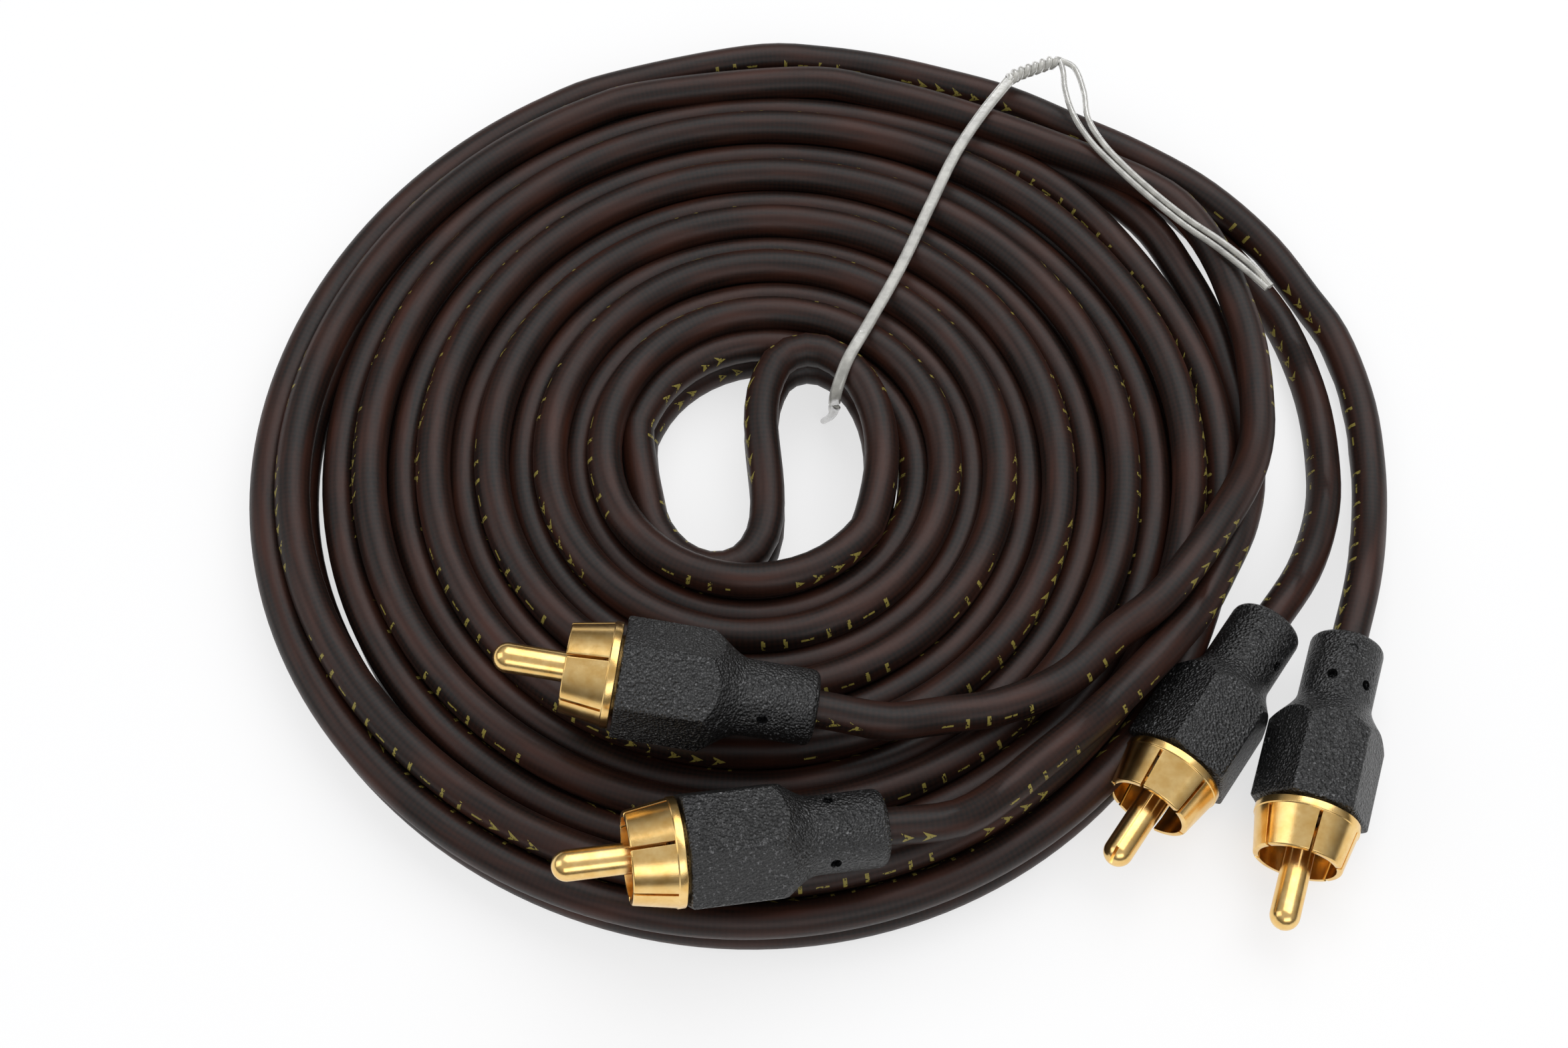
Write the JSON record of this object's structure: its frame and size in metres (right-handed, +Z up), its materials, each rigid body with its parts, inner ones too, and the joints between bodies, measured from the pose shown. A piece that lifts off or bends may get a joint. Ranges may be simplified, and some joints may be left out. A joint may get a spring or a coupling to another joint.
{
  "type": "stereo phono lead",
  "caption": "Stereo phono lead: twin cable wound in a flat spiral coil, moulded hexagonal plugs with gold slotted shells and centre pins, clear tie",
  "frame": {"origin": "middle of the bounding box of the whole lead, on the table that it lies on", "axes": "+Z up from the table; +X to the right and +Y away, as the picture shows the coil; the two plugs beside the coil are at +X"},
  "size_m": [0.1318, 0.1168, 0.024],
  "materials": {
    "smoked_jacket": "smoke-brown translucent vinyl jacket, half matt, copper braid faintly showing",
    "black_vinyl": "black moulded vinyl with a fine spark-eroded grain",
    "gold_plate": "bright gold plating on turned and rolled brass",
    "dark_insulator": "dark moulded plastic",
    "copper": "bare stranded copper",
    "clear_tie": "clear soft plastic round a thin wire"
  },
  "bodies": {
    "root": {"cable_coil": "smoked_jacket", "cable_crossing_lower": "smoked_jacket", "cable_crossing_upper": "smoked_jacket", "plug_1_boot": "black_vinyl", "plug_1_ground_shell": "gold_plate", "plug_1_insulator": "dark_insulator", "plug_1_centre_pin": "gold_plate", "plug_1_jacket_end": "smoked_jacket", "plug_1_core_wire": "copper", "plug_1_shield_wire": "copper", "cable_tail_1": "smoked_jacket", "plug_2_boot": "black_vinyl", "plug_2_ground_shell": "gold_plate", "plug_2_insulator": "dark_insulator", "plug_2_centre_pin": "gold_plate", "plug_2_jacket_end": "smoked_jacket", "plug_2_core_wire": "copper", "plug_2_shield_wire": "copper", "cable_tail_2": "smoked_jacket", "plug_3_boot": "black_vinyl", "plug_3_ground_shell": "gold_plate", "plug_3_insulator": "dark_insulator", "plug_3_centre_pin": "gold_plate", "plug_3_jacket_end": "smoked_jacket", "plug_3_core_wire": "copper", "plug_3_shield_wire": "copper", "cable_tail_3": "smoked_jacket", "plug_4_boot": "black_vinyl", "plug_4_ground_shell": "gold_plate", "plug_4_insulator": "dark_insulator", "plug_4_centre_pin": "gold_plate", "plug_4_jacket_end": "smoked_jacket", "plug_4_core_wire": "copper", "plug_4_shield_wire": "copper", "cable_tail_4": "smoked_jacket", "tie_strap": "clear_tie", "tie_twist": "clear_tie", "tie_tail_1": "clear_tie", "tie_tail_2": "clear_tie"}
  },
  "joints": []
}
